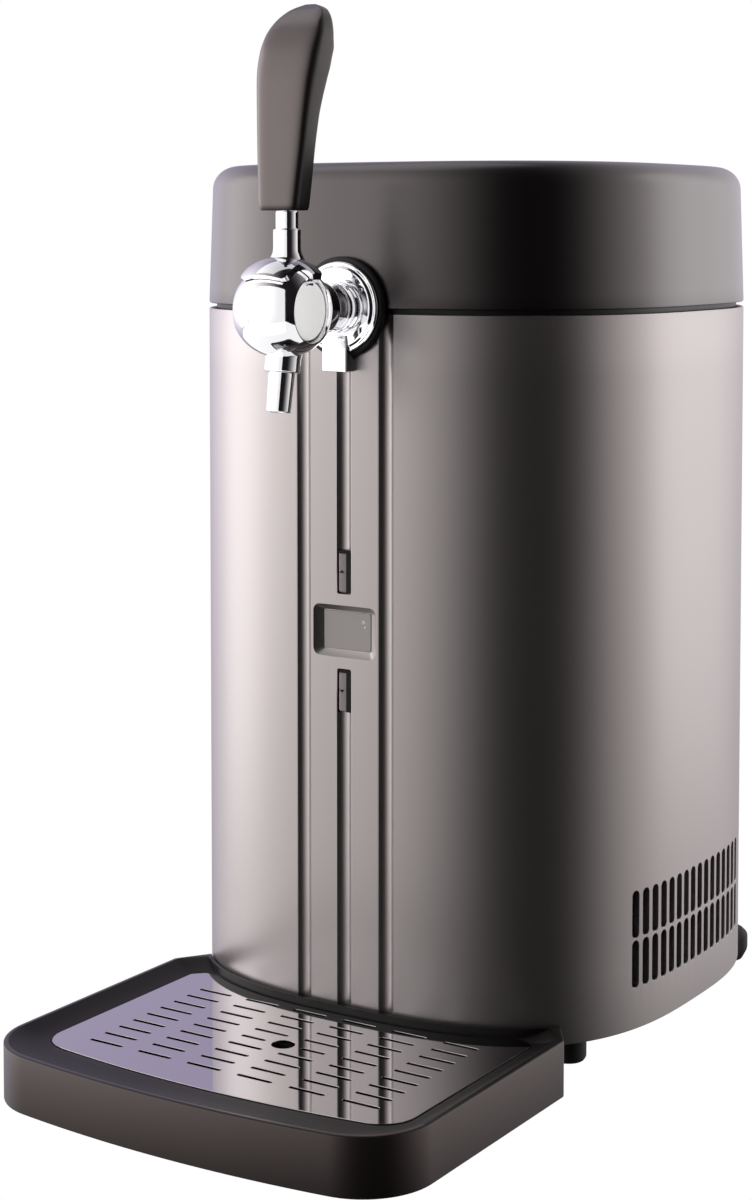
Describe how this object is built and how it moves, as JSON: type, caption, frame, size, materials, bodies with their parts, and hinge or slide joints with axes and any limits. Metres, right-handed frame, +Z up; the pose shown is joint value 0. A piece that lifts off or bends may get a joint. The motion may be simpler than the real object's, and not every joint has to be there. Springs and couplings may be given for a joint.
{
  "type": "mini keg beer dispenser",
  "caption": "Cooled cabinet for a mini keg, with a lift-off lid, a front lever tap, a button strip with display and a loose drip tray with a slotted steel plate.",
  "frame": {"origin": "on the worktop, under the middle of the whole object's length and width with its drip tray in place", "axes": "+Z up, -Y out of the front where the tap and the tray are, +X to the right as seen from the front"},
  "size_m": [0.272, 0.4326, 0.5435],
  "materials": {
    "cabinet_paint": "moulded plastic with a satin metallic warm grey lacquer",
    "button_plastic": "satin warm grey",
    "lid_plastic": "satin charcoal",
    "tray_plastic": "satin charcoal",
    "black_plastic": "fine satin black",
    "handle_plastic": "soft matt charcoal",
    "foam": "closed-cell insulating foam",
    "rubber": "black rubber",
    "well_aluminium": "plain aluminium",
    "ceramic": "white ceramic faces",
    "screw_steel": "plated steel",
    "circuit_board": "green solder mask",
    "transformer": "taped winding and ferrite",
    "capacitor": "dark sleeve",
    "display": "grey segment display",
    "display_glass": "tinted clear window",
    "loom": "black sleeved wires",
    "tap_chrome": "polished chrome",
    "valve_steel": "stainless steel",
    "plate_steel": "polished stainless steel",
    "regulator_brass": "machined brass",
    "cartridge_steel": "plain grey steel",
    "gas_hose": "black hose",
    "beer_hose": "clear-grey hose"
  },
  "bodies": {
    "cabinet": {"cabinet_shell": "cabinet_paint", "top_ring": "black_plastic", "keg_well": "well_aluminium", "foam_jacket": "foam", "base_pan": "black_plastic", "front_feet": "rubber", "rear_feet": "rubber", "foot_screws": "screw_steel", "pan_screws": "screw_steel", "cold_block": "well_aluminium", "cooling_module": "ceramic", "heatsink": "well_aluminium", "heatsink_screws": "screw_steel", "fan_frame": "black_plastic", "fan_screws": "screw_steel", "power_board": "circuit_board", "transformer": "transformer", "capacitors": "capacitor", "power_inlet": "black_plastic", "inlet_pins": "screw_steel", "inlet_screws": "screw_steel", "control_board": "circuit_board", "display_module": "display", "display_glass": "display_glass", "switches": "black_plastic", "control_screws": "screw_steel", "wiring_loom": "loom", "tap_ring": "rubber", "tap_flange": "tap_chrome", "tap_shank": "tap_chrome", "shank_nut": "tap_chrome", "tap_body": "tap_chrome", "spout": "tap_chrome", "spout_seal": "rubber", "gas_regulator": "regulator_brass", "cartridge_sleeve": "well_aluminium", "gas_cartridge": "cartridge_steel", "gas_line": "gas_hose", "keg_coupler": "black_plastic", "coupler_tube": "valve_steel", "coupler_seal": "rubber", "beer_line": "beer_hose"},
    "lid": {"lid_cover": "lid_plastic", "lid_foam": "foam", "lid_liner": "black_plastic", "lid_seal": "rubber", "lid_screws": "screw_steel"},
    "lever": {"pivot_pin": "valve_steel", "lever_yoke": "tap_chrome", "lever_handle": "handle_plastic"},
    "valve": {"valve_rod": "valve_steel", "valve_seal": "rubber"},
    "upper_button": {"button_up": "button_plastic"},
    "lower_button": {"button_down": "button_plastic"},
    "tray": {"drip_tray": "tray_plastic"},
    "plate": {"drip_plate": "plate_steel"},
    "fan": {"fan_rotor": "black_plastic"},
    "knob": {"regulator_knob": "black_plastic"}
  },
  "joints": [
    {"name": "lid_lift", "type": "slide", "parent": "cabinet", "child": "lid", "axis": [0, 0, 1], "range_m": [0, 0.12]},
    {"name": "lever_pull", "type": "hinge", "parent": "cabinet", "child": "lever", "pos_m": [0, -0.1156, 0.392], "axis": [1, 0, 0], "range_deg": [0, 45]},
    {"name": "valve_open", "type": "slide", "parent": "cabinet", "child": "valve", "axis": [0, 1, 0], "range_m": [0, 0.0025]},
    {"name": "upper_button_press", "type": "slide", "parent": "cabinet", "child": "upper_button", "axis": [0, 1, 0], "range_m": [0, 0.001], "stiffness_N_per_m": 600, "springref_m": -0.001},
    {"name": "lower_button_press", "type": "slide", "parent": "cabinet", "child": "lower_button", "axis": [0, 1, 0], "range_m": [0, 0.001], "stiffness_N_per_m": 600, "springref_m": -0.001},
    {"name": "tray_pull", "type": "slide", "parent": "cabinet", "child": "tray", "axis": [0, -1, 0], "range_m": [0, 0.15]},
    {"name": "plate_lift", "type": "slide", "parent": "tray", "child": "plate", "axis": [0, 0, 1], "range_m": [0, 0.04]},
    {"name": "fan_spin", "type": "hinge", "parent": "cabinet", "child": "fan", "pos_m": [0, 0.0769, 0.034], "axis": [0, 0, 1], "continuous": true},
    {"name": "regulator_turn", "type": "hinge", "parent": "cabinet", "child": "knob", "pos_m": [0.08344, 0.16034, 0.415], "axis": [0, 0, 1], "range_deg": [0, 270]}
  ],
  "couplings": [
    {"joint": "valve_open", "follows": "lever_pull", "m_per_rad": 0.00318}
  ]
}
